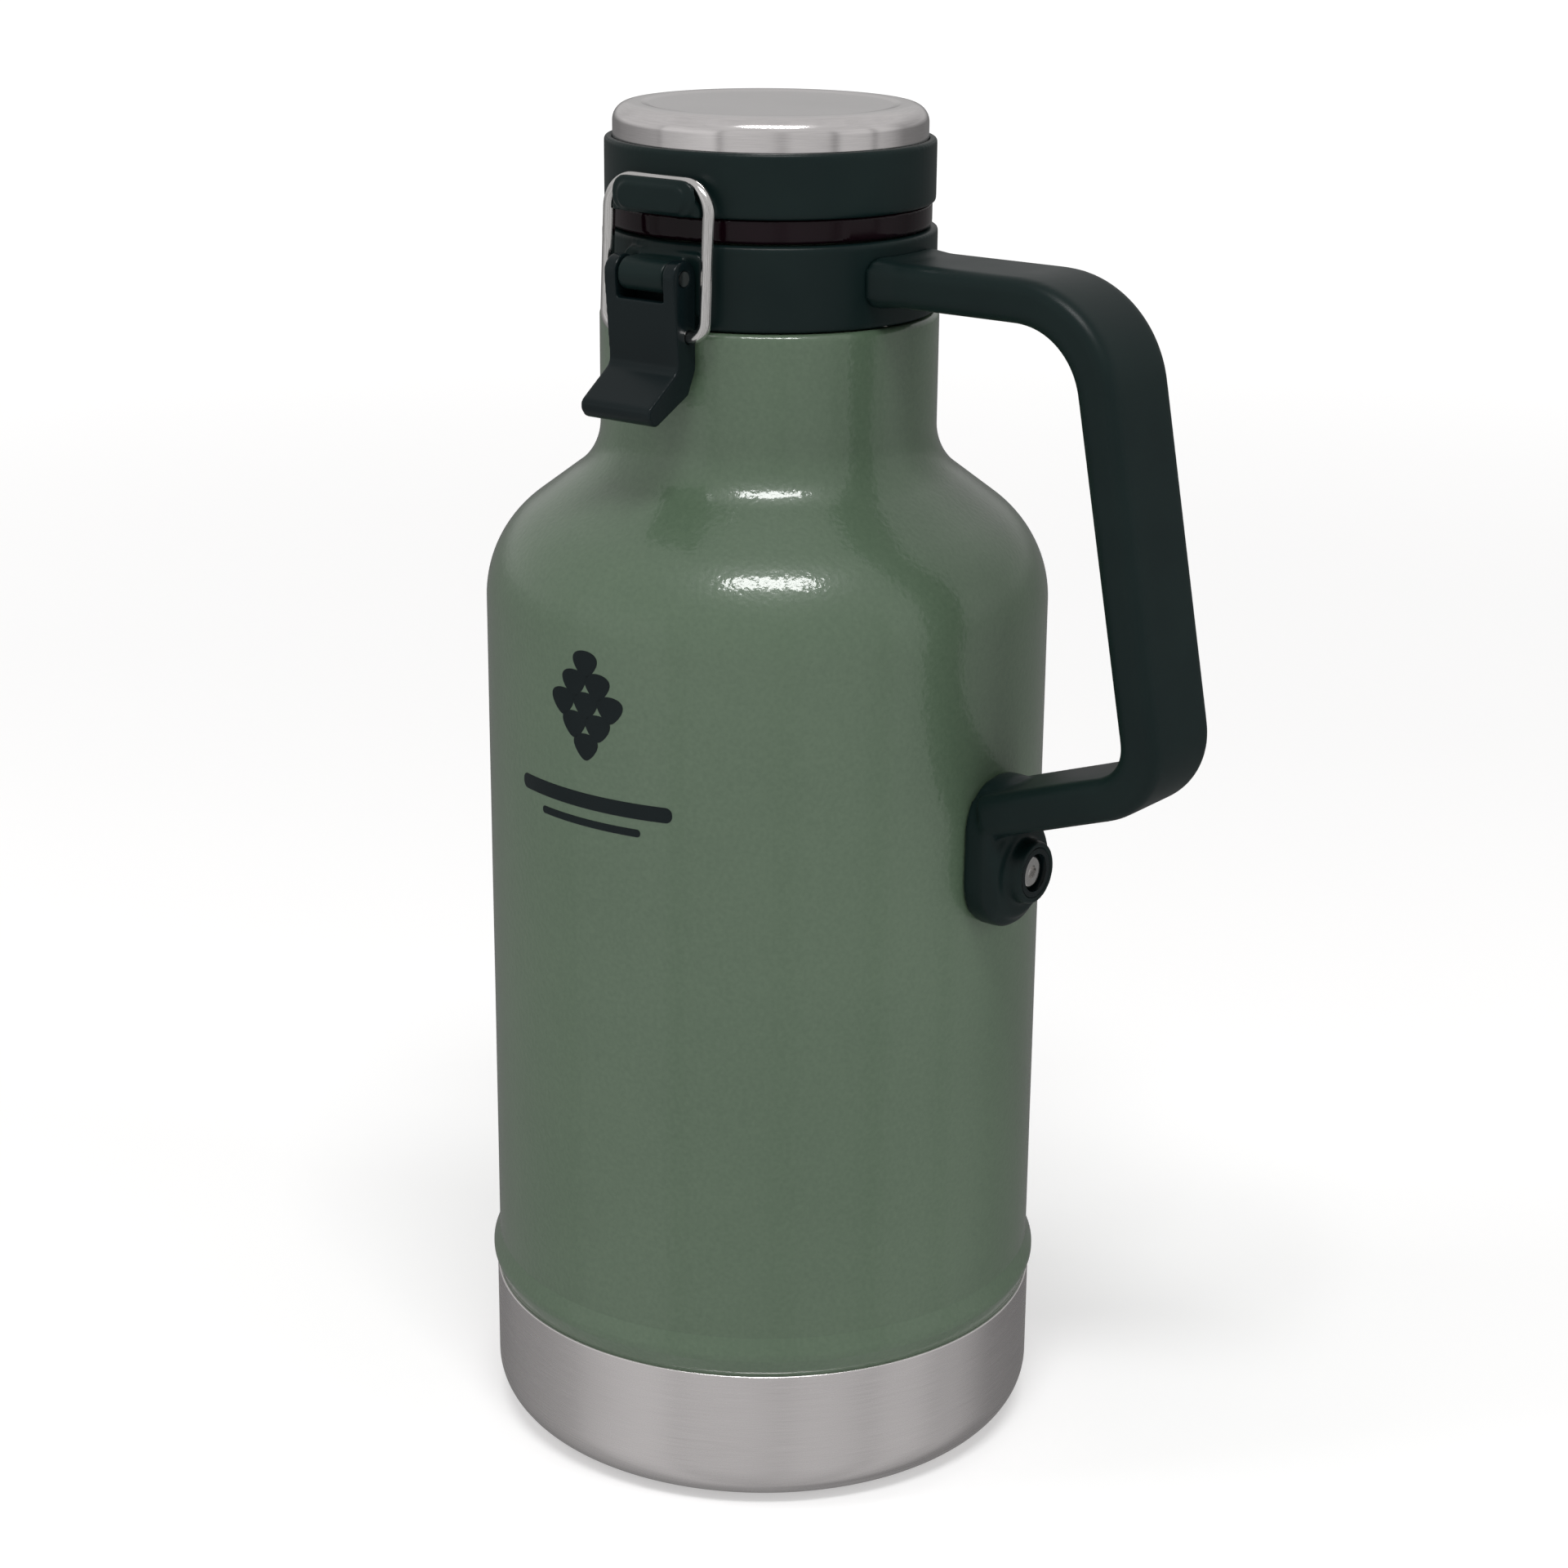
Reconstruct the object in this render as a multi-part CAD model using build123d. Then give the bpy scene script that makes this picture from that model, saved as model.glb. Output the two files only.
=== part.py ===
from build123d import *
import os
from math import atan2, cos, hypot, radians, sin

os.makedirs("parts", exist_ok=True)

# A vacuum growler. Millimetres, +Z up, origin at the middle of the underside.
# The latch faces -Y, the handle +X and the lid hinge +Y.

# Body and base
body_radius = 59.5
shell_wall = 0.6
vacuum_gap = 3.5
shoulder_start = 186.0
shoulder_convex = 25.0
shoulder_concave = 13.0
shoulder_angle = radians(53)
neck_length = 23.4
bore_radius = 27.2
rim_width = 3.2
neck_step = 4.7
cup_height = 31.6
cup_wall = 0.6
cup_corner = 6.4
cup_fit = 0.05
bead_gap = 0.5
bead_height = 8.2
bead_rise = 1.4
foot_gap = 0.6
bottom_gap = 6.0
bottom_plate = 0.8
bottom_flange = 4.0
getter_radius = 6.0
getter_height = 2.0

# Collar
collar_inset = 0.7
collar_height = 16.9
collar_round = 0.6
rim_rise = 1.3
collar_seat_gap = 0.2
collar_fit = 0.1
pad_low = 3.0
pad_high = 1.6
pad_corner = 2.0
web_low = 5.0
web_proud = 0.5
web_sink = 2.0

# Lid
lid_gap = 0.25
flange_inset = 0.7
flange_height = 4.8
flange_plate = 2.0
flange_skirt = 2.2
flange_round = 0.8
ring_inset = 0.5
ring_wall = 1.6
ring_height = 12.8
ring_round = 0.6
ring_floor = 2.0
cap_wall = 0.6
cap_seat_gap = 1.0
cap_height = 16.4
cap_edge = 3.6
cap_fit = 0.1
plug_gap = 2.0
plug_wall = 1.7
plug_depth = 14.9
plug_plate = 1.2
plug_round = 0.8
gasket_gap = 0.1
plug_seal_gap = 0.4
plug_seal_height = 2.0
plug_seal_round = 0.6
plug_seal_drop = 1.2
lid_screw_circle = 14.0
lid_screw_radius = 1.45
lid_screw_head = 2.8
lid_screw_head_height = 1.9
lid_boss_radius = 3.4
lid_boss_height = 5.0

# Lid hinge
hinge_reach = 4.5
hinge_rise = 2.6
knuckle_radius = 3.6
hinge_pin_radius = 1.5
lid_knuckle_half = 4.3
outer_knuckle_width = 6.4
side_gap = 0.3
pin_fit = 0.05

# Latch
lever_reach = 4.4
lever_drop = 6.0
barrel_radius = 3.3
barrel_half = 5.7
lever_pin_radius = 1.5
ear_width = 2.8
ear_radius = 3.6
plate_thickness = 2.8
lever_lean = 1.7
lever_bend_drop = 17.9
tab_out = 9.8
tab_drop = 7.0
tab_thickness = 4.3
tab_round = 1.9
bend_round = 2.5
heel_inset = 2.2
heel_drop = 5.2
heel_step = 0.5
slot_clear = 1.3
channel_drop = 1.5
pad_margin = 4.3
pad_proud = 0.5
wire_radius = 1.25
bail_gap = 2.55
bail_end = 0.5
bail_pivot_in = 1.6
bail_pivot_drop = 11.6
bail_top_bend = 6.0
bail_low_bend = 3.4
bail_bar_gap = 0.45
bail_bar_height = 7.0
keeper_gap = 0.3
keeper_ridge = 0.9
keeper_lip = 0.9
keeper_face_depth = 0.8
keeper_face_inset = 2.45
keeper_low_gap = 0.6
keeper_corner = 3.4
keeper_round = 0.6
keeper_face_drop = 0.3

# Handle
handle_width = 22.0
handle_thickness = 9.0
handle_round = 2.7
grip_out_top = 23.0
grip_out_low = 40.5
grip_bend_top = 19.5
grip_bend_low = 11.5
handle_drop = 7.8
foot_height = 138.0
low_corner_rise = 25.6
low_arm_rise = 12.7
foot_half = 10.6
foot_above = 19.5
foot_below = 12.5
foot_depth = 5.8
foot_round = 10.0
foot_edge = 1.6
boss_edge = 1.0
cup_boss_edge = 0.8
boss_inset = 0.2
boss_depth = 7.1
cup_boss_wall = 1.5
cup_boss_rise = 3.5
handle_gap = 0.1
tongue_inset = 3.0
tongue_skin = 0.6
root_flare = 0.8
root_length = 5.0
handle_pin_radius = 1.0
handle_pin_spacing = 10.0
stud_radius = 4.2
stud_height = 3.1
screw_radius = 1.7
screw_head = 3.6
screw_head_height = 2.5
screw_head_round = 0.8
socket_radius = 1.5
socket_depth = 1.4
bush_wall = 1.2
head_gap = 0.4
head_inset = 0.9
bush_floor = 1.0
bush_inset = 0.4


def shoulder_end(radius, neck, convex):
    """Height at which a vessel's shoulder turns into its straight neck."""
    bends = convex + shoulder_concave
    slope = (radius - neck - bends * (1 - cos(shoulder_angle))) / sin(shoulder_angle)
    return shoulder_start + bends * sin(shoulder_angle) + slope * cos(shoulder_angle)


spout_radius = bore_radius + rim_width
neck_radius = spout_radius + neck_step
collar_radius = neck_radius - collar_inset
ring_radius = collar_radius - ring_inset
flange_radius = ring_radius - flange_inset
cap_radius = ring_radius - ring_wall - cap_fit
plug_radius = bore_radius - plug_gap
neck_start = shoulder_end(body_radius, neck_radius, shoulder_convex)
neck_top = neck_start + neck_length
collar_low = neck_top + collar_seat_gap
collar_top = collar_low + collar_height
rim_top = collar_top + rim_rise
flange_low = collar_top + lid_gap
flange_top = flange_low + flange_height
ring_top = flange_top + ring_height
cap_top = flange_top + ring_floor + cap_seat_gap + cap_height
shell_foot = cup_corner + foot_gap
liner_radius = body_radius - shell_wall - vacuum_gap
liner_neck = bore_radius + shell_wall
liner_low = shell_foot + bottom_gap
hinge_y = collar_radius + hinge_reach
hinge_z = collar_top + hinge_rise
lever_y = -(collar_radius + lever_reach)
lever_z = collar_top - lever_drop
bail_y = lever_y + bail_pivot_in
bail_z = lever_z - bail_pivot_drop
bar_y = -(ring_radius + bail_bar_gap + wire_radius)
bar_z = flange_top + bail_bar_height
arm_z = collar_top - handle_drop
hinge_half = lid_knuckle_half + side_gap + outer_knuckle_width
lever_half = barrel_half + side_gap + ear_width
pad_half = barrel_half + pad_margin
bail_half = lever_half + bail_gap + wire_radius
tongue_half = handle_width / 2 - tongue_inset
tongue_height = handle_thickness - 2 * tongue_skin
bush_bore = screw_head + head_gap
bush_radius = bush_bore + bush_wall
boss_radius = foot_half - boss_inset
cup_boss_radius = bush_radius + cup_boss_wall
cup_boss_depth = boss_depth + cup_boss_rise
bush_top = body_radius + cup_boss_depth - bush_inset
screw_seat = bush_top - screw_head_height - head_inset
bush_low = screw_seat - bush_floor


def cylinder(radius, low, high):
    """Upright cylinder between two heights."""
    return Pos(0, 0, low) * Cylinder(radius, high - low, align=(Align.CENTER, Align.CENTER, Align.MIN))


def tube(outer, inner, low, high):
    """Upright tube between two heights."""
    return cylinder(outer, low, high) - cylinder(inner, low, high)


def block(x, y, z):
    """Box from three pairs of limits."""
    size = Box(x[1] - x[0], y[1] - y[0], z[1] - z[0])
    return Pos((x[0] + x[1]) / 2, (y[0] + y[1]) / 2, (z[0] + z[1]) / 2) * size


def rod(radius, left, right, y, z):
    """Cylinder along X."""
    return Pos((left + right) / 2, y, z) * Rot(0, 90, 0) * Cylinder(radius, right - left)


def turned(*curves):
    """Solid of revolution from a closed outline of radius and height."""
    return revolve(Plane.XZ * make_face(curves), Axis.Z)


def vessel(radius, neck, low, high, convex):
    """Solid bottle form: straight side, shoulder of two tangent arcs and a cone, straight neck."""
    turn = sin(shoulder_angle), cos(shoulder_angle)
    half = sin(shoulder_angle / 2), cos(shoulder_angle / 2)
    end = shoulder_end(radius, neck, convex)
    side = (radius, shoulder_start)
    convex_mid = (radius - convex * (1 - half[1]), shoulder_start + convex * half[0])
    convex_end = (radius - convex * (1 - turn[1]), shoulder_start + convex * turn[0])
    concave_mid = (neck + shoulder_concave * (1 - half[1]), end - shoulder_concave * half[0])
    concave_start = (neck + shoulder_concave * (1 - turn[1]), end - shoulder_concave * turn[0])
    return turned(
        Line((0, low), (radius, low)),
        Line((radius, low), side),
        ThreePointArc(side, convex_mid, convex_end),
        Line(convex_end, concave_start),
        ThreePointArc(concave_start, concave_mid, (neck, end)),
        Line((neck, end), (neck, high)),
        Line((neck, high), (0, high)),
        Line((0, high), (0, low)),
    )


def make_outer_shell():
    wall = shell_wall
    outside = vessel(body_radius, neck_radius, shell_foot, neck_top, shoulder_convex)
    inside = vessel(body_radius - wall, neck_radius - wall, shell_foot, neck_top - wall, shoulder_convex - wall)
    bead_low = cup_height + bead_gap
    bead = turned(
        ThreePointArc(
            (body_radius, bead_low),
            (body_radius + bead_rise, bead_low + bead_height / 2),
            (body_radius, bead_low + bead_height),
        ),
        Line((body_radius, bead_low + bead_height), (body_radius - wall / 2, bead_low + bead_height)),
        Line((body_radius - wall / 2, bead_low + bead_height), (body_radius - wall / 2, bead_low)),
        Line((body_radius - wall / 2, bead_low), (body_radius, bead_low)),
    )
    spout = tube(spout_radius, spout_radius - wall, neck_top - wall, rim_top - wall)
    opening = cylinder(spout_radius - wall, neck_top - 2 * wall, neck_top + wall)
    return outside - inside - opening + bead + spout


def make_inner_liner():
    wall = shell_wall
    convex = shoulder_convex - wall - vacuum_gap
    outside = vessel(liner_radius, liner_neck, liner_low, rim_top, convex)
    inside = vessel(liner_radius - wall, bore_radius, liner_low, rim_top, convex - wall)
    rim = tube(spout_radius, bore_radius, rim_top - wall, rim_top)
    return outside - inside + rim


def flanged_disc(radius, low):
    """Flat steel disc with a short upright flange."""
    rim = tube(radius, radius - bottom_plate, low, low + bottom_flange)
    return cylinder(radius, low, low + bottom_plate) + rim


def make_base_cup():
    outer = body_radius + cup_fit + cup_wall
    inner = outer - cup_wall
    outside = fillet(cylinder(outer, 0, cup_height).edges().sort_by(Axis.Z)[0], cup_corner)
    inside = fillet(cylinder(inner, cup_wall, cup_height).edges().sort_by(Axis.Z)[0], cup_corner - cup_wall)
    return outside - inside


def make_collar():
    body = tube(collar_radius, spout_radius + collar_fit, collar_low, collar_top)
    rims = body.edges().filter_by(GeomType.CIRCLE).filter_by(lambda e: e.radius > collar_radius - 0.01)
    body = fillet(rims, collar_round)
    pad = block(
        (-pad_half, pad_half),
        (-collar_radius - pad_proud, -spout_radius - 1),
        (collar_low + pad_low, collar_top - pad_high),
    )
    pad = fillet(pad.edges().filter_by(Axis.Y), pad_corner)
    barrel = rod(barrel_radius, -barrel_half, barrel_half, lever_y, lever_z)
    arm = block(
        (-barrel_half, barrel_half), (lever_y, -spout_radius - 1), (lever_z - barrel_radius, lever_z + barrel_radius)
    )
    body += pad + barrel + arm
    body -= rod(lever_pin_radius, -barrel_half - 1, barrel_half + 1, lever_y, lever_z)
    first = lid_knuckle_half + side_gap
    for left, right in ((-hinge_half, -first), (first, hinge_half)):
        body += knuckle_web(left, right) + rod(knuckle_radius, left, right, hinge_y, hinge_z)
    body -= rod(hinge_pin_radius, -hinge_half - 1, hinge_half + 1, hinge_y, hinge_z)
    body -= cylinder(spout_radius + collar_fit, collar_low - 1, collar_top + 1)
    body -= tongue(handle_gap)
    for y in pin_places():
        body -= Pos(pin_x(), y, 0) * cylinder(handle_pin_radius, collar_low - 1, collar_top - 1)
    return body


def knuckle_web(left, right):
    """Web that joins a hinge knuckle to the collar's wall."""
    root = collar_radius - web_sink
    tangent_y = hinge_y + knuckle_radius * cos(radians(-30))
    tangent_z = hinge_z + knuckle_radius * sin(radians(-30))
    points = [
        (root, collar_low + web_low),
        (collar_radius + web_proud, collar_low + web_low),
        (tangent_y, tangent_z),
        (hinge_y, hinge_z),
        (hinge_y - knuckle_radius, hinge_z - 1),
        (root, collar_top - 1),
    ]
    face = Plane.YZ * make_face(Polyline(*points, close=True))
    return Pos(left, 0, 0) * extrude(face, right - left, dir=(1, 0, 0))


def pin_x():
    """Distance of the handle pins from the axis: the middle of the collar's wall."""
    return (spout_radius + collar_radius) / 2


def pin_places():
    return (-handle_pin_spacing / 2, handle_pin_spacing / 2)


def tongue(gap):
    """The handle's tongue, or with a gap the slot that it goes into."""
    half = tongue_half + gap
    rise = tongue_height / 2 + gap
    bar = block((0, collar_radius + 1), (-half, half), (arm_z - rise, arm_z + rise))
    return bar - cylinder(spout_radius + collar_fit - gap, collar_low - 1, collar_top + 1)


def make_handle():
    corner_top = (body_radius + grip_out_top, arm_z)
    corner_low = (body_radius + grip_out_low, foot_height + low_corner_rise)
    low_end = (body_radius + foot_depth / 2, foot_height + low_arm_rise)
    route = FilletPolyline(
        (collar_radius - 2, arm_z), corner_top, corner_low, low_end, radius=(grip_bend_top, grip_bend_low)
    )
    section = Plane.YZ.offset(collar_radius - 2) * Pos(0, arm_z) * RectangleRounded(
        handle_width, handle_thickness, handle_round
    )
    body = sweep(section, path=Plane.XZ * route)
    root = Plane.YZ.offset(collar_radius - 2) * Pos(0, arm_z) * RectangleRounded(
        handle_width + 2 * root_flare, handle_thickness + 2 * root_flare, handle_round + root_flare
    )
    end = Plane.YZ.offset(collar_radius + root_length) * Pos(0, arm_z) * RectangleRounded(
        handle_width - 0.1, handle_thickness - 0.1, handle_round
    )
    body += loft([root, end])
    body -= cylinder(collar_radius, collar_low - 1, collar_top + 1)
    body += foot()
    body -= foot_holes()
    body += tongue(0)
    for y in pin_places():
        body -= Pos(pin_x(), y, 0) * cylinder(handle_pin_radius, collar_low - 1, collar_top - 1)
    return body


def along_x(shape, low, high):
    """Sketch in Y and Z, extruded along X between two distances."""
    return extrude(Plane.YZ.offset(low) * shape, high - low)


def foot():
    """Foot of the handle: a round-ended pad on the body, with a stepped boss round the screw."""
    height = foot_above + foot_below
    middle = foot_height + (foot_above - foot_below) / 2
    pad = along_x(
        Pos(0, middle) * RectangleRounded(2 * foot_half, height, foot_round),
        body_radius - foot_depth,
        body_radius + foot_depth,
    )
    pad = fillet(pad.faces().sort_by(Axis.X)[-1].edges(), foot_edge)
    disc = Pos(body_radius, 0, foot_height) * Rot(0, 90, 0) * Cylinder(
        boss_radius, boss_depth, align=(Align.CENTER, Align.CENTER, Align.MIN)
    )
    disc = fillet(disc.edges().sort_by(Axis.X)[-1], boss_edge)
    ring = Pos(body_radius, 0, foot_height) * Rot(0, 90, 0) * Cylinder(
        cup_boss_radius, cup_boss_depth, align=(Align.CENTER, Align.CENTER, Align.MIN)
    )
    ring = fillet(ring.edges().sort_by(Axis.X)[-1], cup_boss_edge)
    seat = cylinder(body_radius + handle_gap, foot_height - 40, foot_height + 40)
    return pad + disc + ring - seat


def foot_holes():
    """Pocket for the stud, hole for the screw and recess for the bush."""
    pocket = rod(stud_radius + 0.2, body_radius - 5, body_radius + stud_height + 0.2, 0, foot_height)
    hole = rod(screw_radius + 0.5, body_radius, bush_low + 1, 0, foot_height)
    recess = rod(bush_radius, bush_low, body_radius + cup_boss_depth + 1, 0, foot_height)
    return pocket + hole + recess


def make_foot_bush():
    body = rod(bush_radius - 0.02, bush_low, bush_top, 0, foot_height)
    body -= rod(bush_bore, screw_seat, bush_top + 1, 0, foot_height)
    return body - rod(screw_radius + 0.4, bush_low - 1, bush_top, 0, foot_height)


def make_foot_screw():
    top = screw_seat + screw_head_height
    shank = rod(screw_radius, body_radius + 0.3, screw_seat, 0, foot_height)
    head = rod(screw_head, screw_seat, top, 0, foot_height)
    head = fillet(head.edges().sort_by(Axis.X)[-1], screw_head_round)
    socket = Plane.YZ.offset(top) * Pos(0, foot_height) * RegularPolygon(socket_radius, 6)
    return shank + head - extrude(socket, -socket_depth)


def make_foot_stud():
    body = rod(stud_radius, body_radius - 3, body_radius + stud_height, 0, foot_height)
    body -= rod(screw_radius + 0.05, body_radius - 4, body_radius + stud_height + 1, 0, foot_height)
    return body - cylinder(body_radius, foot_height - 20, foot_height + 20)


def make_handle_pins():
    return [
        Pos(pin_x(), y, 0) * cylinder(handle_pin_radius - 0.01, collar_low, collar_top - 1.2) for y in pin_places()
    ]


def make_stopper_flange():
    inner = flange_radius - flange_skirt
    body = cylinder(flange_radius, flange_low, flange_top)
    body = fillet(body.edges().sort_by(Axis.Z)[0], flange_round)
    body -= cylinder(inner, flange_low - 1, flange_top - flange_plate)
    for x, y in screw_places():
        body -= Pos(x, y, 0) * cylinder(lid_screw_radius + 0.1, flange_low, flange_top + 1)
    return body


def screw_places():
    spots = (90, 210, 330)
    return [(lid_screw_circle * cos(radians(a)), lid_screw_circle * sin(radians(a))) for a in spots]


def make_lid_screws():
    seat = flange_top - flange_plate
    screws = []
    for x, y in screw_places():
        head = cylinder(lid_screw_head, seat - lid_screw_head_height, seat)
        shank = cylinder(lid_screw_radius, seat, flange_top + ring_floor + lid_boss_height - 1)
        screws.append(Pos(x, y, 0) * (head + shank))
    return screws


def make_lid_ring():
    inner = cap_radius + cap_fit
    body = cylinder(ring_radius, flange_top, ring_top)
    body = fillet(body.edges(), ring_round)
    body -= cylinder(inner, flange_top + ring_floor, ring_top + 1)
    for x, y in screw_places():
        body += Pos(x, y, 0) * cylinder(lid_boss_radius, flange_top, flange_top + ring_floor + lid_boss_height)
        body -= Pos(x, y, 0) * cylinder(lid_screw_radius + 0.05, flange_top - 1, flange_top + 20)
    body += keeper()
    body += lid_knuckle()
    return body - rod(hinge_pin_radius + pin_fit, -hinge_half, hinge_half, hinge_y, hinge_z)


def keeper():
    """Lug that the bail's bar hooks behind: a low seat under the bar, a ridge and a raised oval face."""
    seat_top = bar_z - wire_radius - keeper_gap
    low = flange_top + keeper_low_gap
    seat_half = bail_half - wire_radius - keeper_gap
    round_top = bail_top_bend - wire_radius - keeper_gap
    back = ring_radius - 3
    front = -bar_y + wire_radius + keeper_gap
    bend_z = bar_z - bail_top_bend
    seat = facing(
        Pos(0, (low + seat_top) / 2) * Rectangle(2 * (seat_half - round_top), seat_top - low), back, front
    )
    seat += facing(Pos(0, (low + bend_z) / 2) * Rectangle(2 * seat_half, bend_z - low), back, front)
    for side in (-1, 1):
        seat += facing(Pos(side * (seat_half - round_top), bend_z) * Circle(round_top), back, front)
    seat -= cylinder(front + 9, flange_low, low)
    top = bar_z + keeper_ridge
    lip = facing(
        Pos(0, (low + top) / 2) * RectangleRounded(2 * (seat_half - keeper_round), top - low, keeper_corner),
        front,
        front + keeper_lip,
    )
    lip = fillet(lip.faces().sort_by(Axis.Y)[0].edges(), keeper_round)
    face_half = seat_half - keeper_face_inset
    face_height = top - low - 2 * keeper_lip
    face_round = face_height / 2 - 0.05
    face = facing(
        Pos(0, (low + top) / 2 - keeper_face_drop) * RectangleRounded(2 * face_half, face_height, face_round),
        front,
        front + keeper_lip + keeper_face_depth,
    )
    face = fillet(face.faces().sort_by(Axis.Y)[0].edges(), keeper_round)
    seat -= cylinder(cap_radius + cap_fit, flange_top, ring_top)
    return seat + lip + face


def facing(shape, near, far):
    """Sketch in X and Z, extruded towards -Y between two distances from the axis."""
    return extrude(Plane.XZ.offset(near) * shape, far - near)


def lid_knuckle():
    """Arm and knuckle of the lid ring."""
    points = [
        (ring_radius - 0.9, flange_top + 0.3),
        (ring_radius - 0.9, flange_top + 7),
        (hinge_y + knuckle_radius * cos(radians(60)), hinge_z + knuckle_radius * sin(radians(60))),
        (hinge_y, hinge_z),
        (hinge_y - knuckle_radius * cos(radians(30)), hinge_z + knuckle_radius * sin(radians(30))),
    ]
    face = Plane.YZ * make_face(Polyline(*points, close=True))
    arm = Pos(-lid_knuckle_half, 0, 0) * extrude(face, 2 * lid_knuckle_half, dir=(1, 0, 0))
    return arm + rod(knuckle_radius, -lid_knuckle_half, lid_knuckle_half, hinge_y, hinge_z)


def make_lid_cap():
    low = cap_top - cap_height
    outside = fillet(cylinder(cap_radius, low, cap_top).edges().sort_by(Axis.Z)[-1], cap_edge)
    inside = cylinder(cap_radius - cap_wall, low - 1, cap_top - cap_wall)
    inside = fillet(inside.edges().sort_by(Axis.Z)[-1], cap_edge - cap_wall)
    return outside - inside


def make_cap_foam():
    low = flange_top + ring_floor + lid_boss_height + 0.4
    body = cylinder(cap_radius - cap_wall - 0.4, low, cap_top - cap_wall - 0.3)
    return fillet(body.edges().sort_by(Axis.Z)[-1], cap_edge - cap_wall)


def make_plug_cup():
    top = flange_top - flange_plate
    return tube(plug_radius, plug_radius - plug_wall, top - plug_depth + plug_plate, top)


def make_plug_base():
    low = flange_top - flange_plate - plug_depth
    body = cylinder(plug_radius, low, low + plug_plate)
    return fillet(body.edges().sort_by(Axis.Z)[0], plug_round)


def make_plug_foam():
    top = flange_top - flange_plate
    return cylinder(
        plug_radius - plug_wall - 0.1, top - plug_depth + plug_plate + 0.1, top - lid_screw_head_height - 0.4
    )


def make_plug_gasket():
    high = rim_top - plug_seal_drop
    body = tube(bore_radius - plug_seal_gap, plug_radius, high - plug_seal_height, high)
    outer = body.edges().filter_by(GeomType.CIRCLE).filter_by(lambda e: e.radius > plug_radius + 0.1)
    return fillet(outer, plug_seal_round)


def make_rim_gasket():
    return tube(spout_radius - 0.2, plug_radius + 0.1, rim_top + gasket_gap, flange_top - flange_plate)


def make_latch_lever():
    front = lever_y - ear_radius
    bend = (front + lever_lean, lever_z - lever_bend_drop)
    tip = (bend[0] - tab_out, bend[1] - tab_drop)
    slope = atan2(tab_drop, tab_out)
    under = (tip[0] + tab_thickness * sin(slope), tip[1] - tab_thickness * cos(slope))
    back = lever_y + ear_radius
    heel = (back - heel_inset, bend[1] - heel_drop)
    outline = Polyline(
        (front, lever_z), bend, tip, under, heel, (back, bend[1] - heel_step), (back, lever_z), close=True
    )
    face = Plane.YZ * make_face(outline)
    body = Pos(-lever_half, 0, 0) * extrude(face, 2 * lever_half, dir=(1, 0, 0))
    body = fillet(edges_near(body, tip), tab_round)
    body = fillet(edges_near(body, under), tab_round)
    body = fillet(edges_near(body, bend), bend_round)
    body += rod(ear_radius, -lever_half, lever_half, lever_y, lever_z)
    slot_half = barrel_half + side_gap
    slot_low = lever_z - barrel_radius - slot_clear
    body -= block((-slot_half, slot_half), (front - 1, back + 1), (slot_low, lever_z + ear_radius + 1))
    inner_bend = (bend[0] + plate_thickness, bend[1] - channel_drop)
    channel = Polyline(
        (front + plate_thickness, slot_low + 1),
        inner_bend,
        (back + 1, bend[1] - channel_drop),
        (back + 1, slot_low + 1),
        close=True,
    )
    cut = Plane.YZ * make_face(channel)
    body -= Pos(-slot_half, 0, 0) * extrude(cut, 2 * slot_half, dir=(1, 0, 0))
    body -= rod(lever_pin_radius + pin_fit, -lever_half - 1, lever_half + 1, lever_y, lever_z)
    return body - rod(wire_radius + pin_fit, -lever_half - 1, lever_half + 1, bail_y, bail_z)


def edges_near(body, place):
    """Edges along X that pass through a point given by Y and Z."""
    along = body.edges().filter_by(Axis.X)
    return [e for e in along if hypot(e.center().Y - place[0], e.center().Z - place[1]) < 0.01]


def make_bail():
    rise = Vector(0, bar_y - bail_y, bar_z - bail_z)
    plane = Plane(origin=(0, bail_y, bail_z), x_dir=(1, 0, 0), z_dir=Vector(1, 0, 0).cross(rise))
    end = barrel_half + side_gap + bail_end
    route = FilletPolyline(
        (-end, 0),
        (-bail_half, 0),
        (-bail_half, rise.length),
        (bail_half, rise.length),
        (bail_half, 0),
        (end, 0),
        radius=(bail_low_bend, bail_top_bend, bail_top_bend, bail_low_bend),
    )
    section = Plane(origin=(-end, bail_y, bail_z), z_dir=(-1, 0, 0)) * Circle(wire_radius)
    return sweep(section, path=plane * route)


def make_lever_pin():
    return rod(lever_pin_radius - 0.01, -lever_half, lever_half, lever_y, lever_z)


def make_hinge_pin():
    return rod(hinge_pin_radius - 0.01, -hinge_half - 0.4, hinge_half + 0.4, hinge_y, hinge_z)


solids = {
    "outer_shell": make_outer_shell(),
    "shell_bottom": flanged_disc(body_radius - shell_wall, shell_foot),
    "getter": cylinder(getter_radius, shell_foot + bottom_plate, shell_foot + bottom_plate + getter_height),
    "base_cup": make_base_cup(),
    "inner_liner": make_inner_liner(),
    "liner_bottom": flanged_disc(liner_radius - shell_wall, liner_low),
    "collar": make_collar(),
    "handle": make_handle(),
    "handle_pins": make_handle_pins(),
    "foot_stud": make_foot_stud(),
    "foot_screw": make_foot_screw(),
    "foot_bush": make_foot_bush(),
    "lever_pin": make_lever_pin(),
    "hinge_pin": make_hinge_pin(),
    "lid_ring": make_lid_ring(),
    "lid_cap": make_lid_cap(),
    "cap_foam": make_cap_foam(),
    "stopper_flange": make_stopper_flange(),
    "lid_screws": make_lid_screws(),
    "plug_cup": make_plug_cup(),
    "plug_base": make_plug_base(),
    "plug_foam": make_plug_foam(),
    "plug_gasket": make_plug_gasket(),
    "rim_gasket": make_rim_gasket(),
    "latch_lever": make_latch_lever(),
    "bail": make_bail(),
}

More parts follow.
